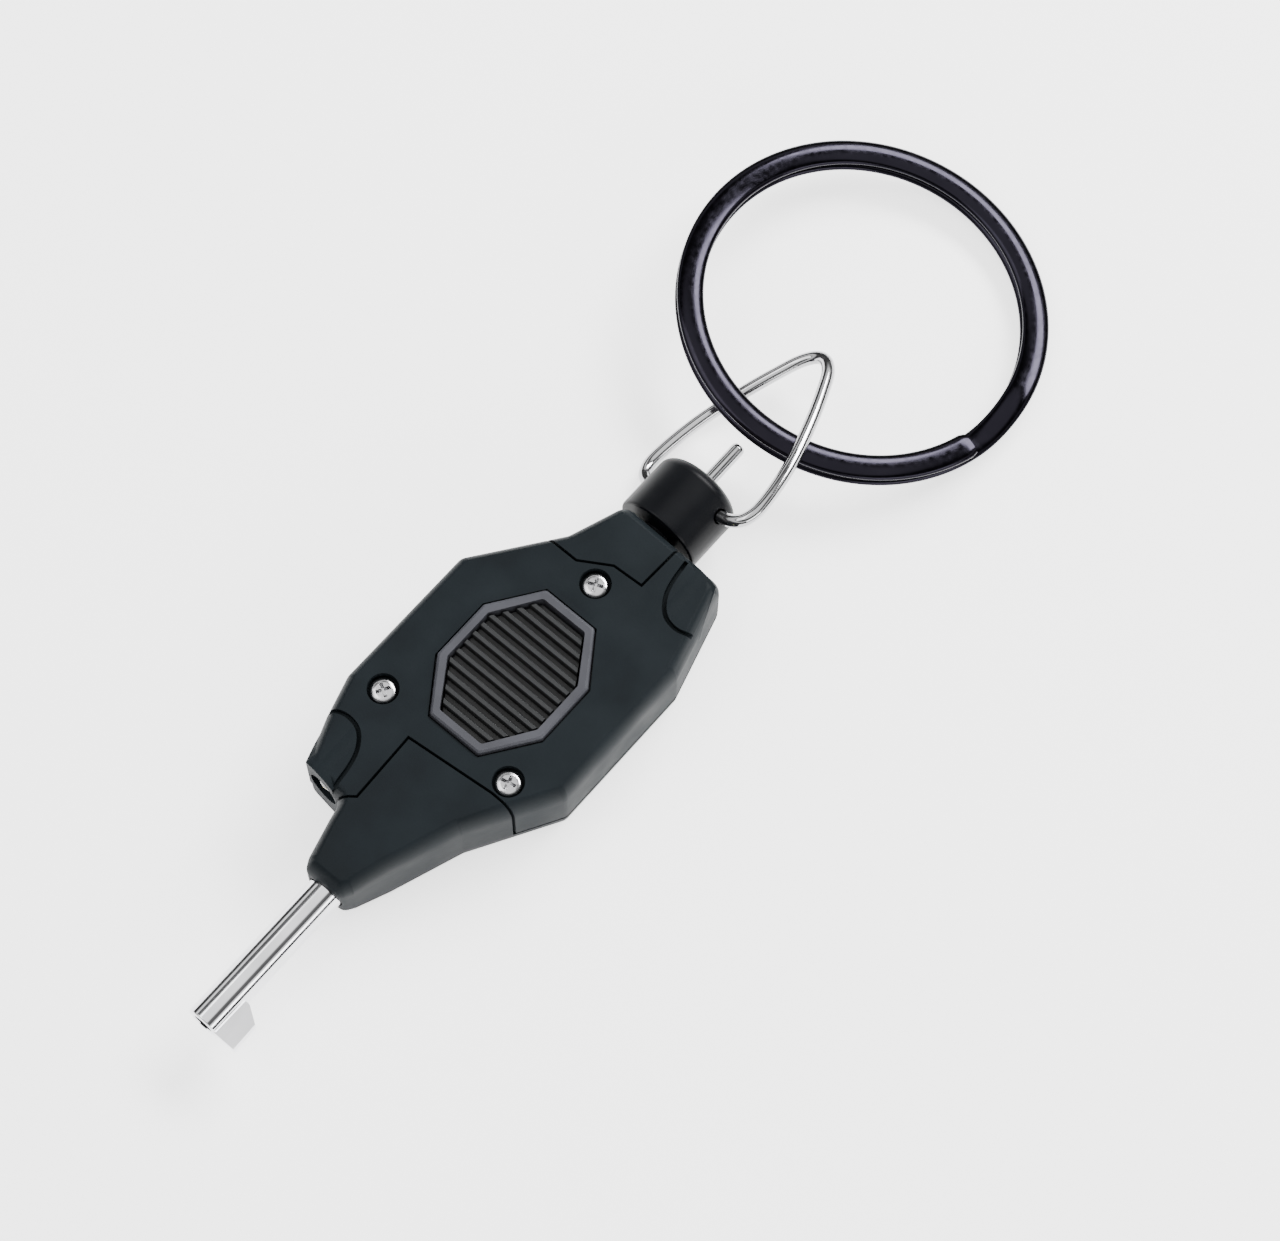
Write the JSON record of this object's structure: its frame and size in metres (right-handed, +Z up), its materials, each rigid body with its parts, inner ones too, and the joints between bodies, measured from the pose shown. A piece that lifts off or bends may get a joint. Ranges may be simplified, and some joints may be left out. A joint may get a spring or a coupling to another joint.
{
  "type": "handcuff key with light",
  "caption": "Handcuff key: steel barrel with a bit, flat eight-sided light body with a ribbed button, LEDs facing both ways, swivel neck with a lock pin, wire bail and split ring.",
  "frame": {"origin": "on the flat underside of the housing, below the middle of the button", "axes": "+X along the key barrel's axis from the key tip towards the ring, +Z up out of the button face, +Y completes the right hand"},
  "size_m": [0.129, 0.0422, 0.0112],
  "materials": {
    "black_plastic": "moulded, fine satin texture",
    "bezel_grey": "satin mid grey",
    "button_black": "matte, ribbed",
    "bright_steel": "polished, plated",
    "dark_steel": "black nickel, glossy",
    "screw_steel": "bright zinc",
    "board_green": "solder mask",
    "cell_steel": "nickel plated can",
    "spring_brass": "plated spring sheet",
    "chip_black": "moulded epoxy",
    "led_clear": "clear epoxy lens"
  },
  "bodies": {
    "housing": {"lower_housing": "black_plastic", "upper_cover": "black_plastic", "button_bezel": "bezel_grey", "cover_screw_rear": "screw_steel", "cover_screw_left": "screw_steel", "cover_screw_right": "screw_steel", "key_barrel": "bright_steel", "coin_cell_lower": "cell_steel", "coin_cell_upper": "cell_steel", "contact_negative": "spring_brass", "contact_positive": "spring_brass", "circuit_board": "board_green", "switch_base": "chip_black", "mode_chip": "chip_black", "current_resistor": "chip_black", "front_led": "led_clear", "rear_led": "led_clear", "front_led_anode": "bright_steel", "front_led_cathode": "bright_steel", "rear_led_anode": "bright_steel", "rear_led_cathode": "bright_steel"},
    "button": {"button_cap": "button_black", "switch_plunger": "button_black"},
    "swivel": {"swivel_post": "black_plastic", "swivel_clip": "spring_brass", "double_lock_pin": "bright_steel"},
    "bail_wire": {"bail": "bright_steel"},
    "key_ring": {"split_ring": "dark_steel"}
  },
  "joints": [
    {"name": "button_press", "type": "slide", "parent": "housing", "child": "button", "axis": [0, 0, -1], "range_m": [0, 0.0004], "stiffness_N_per_m": 800, "springref_m": -0.0008},
    {"name": "neck_swivel", "type": "hinge", "parent": "housing", "child": "swivel", "pos_m": [0.0234, 0, 0.00535], "axis": [1, 0, 0], "continuous": true},
    {"name": "bail_swing", "type": "hinge", "parent": "swivel", "child": "bail_wire", "pos_m": [0.0288, 0, 0.00535], "axis": [0, -0.8526, 0.5225], "range_deg": [-90, 90]},
    {"name": "ring_swing", "type": "hinge", "parent": "bail_wire", "child": "key_ring", "pos_m": [0.04074, 0.0004, 0.00668], "axis": [0, -0.9952, -0.0977], "range_deg": [-45, 85]}
  ]
}
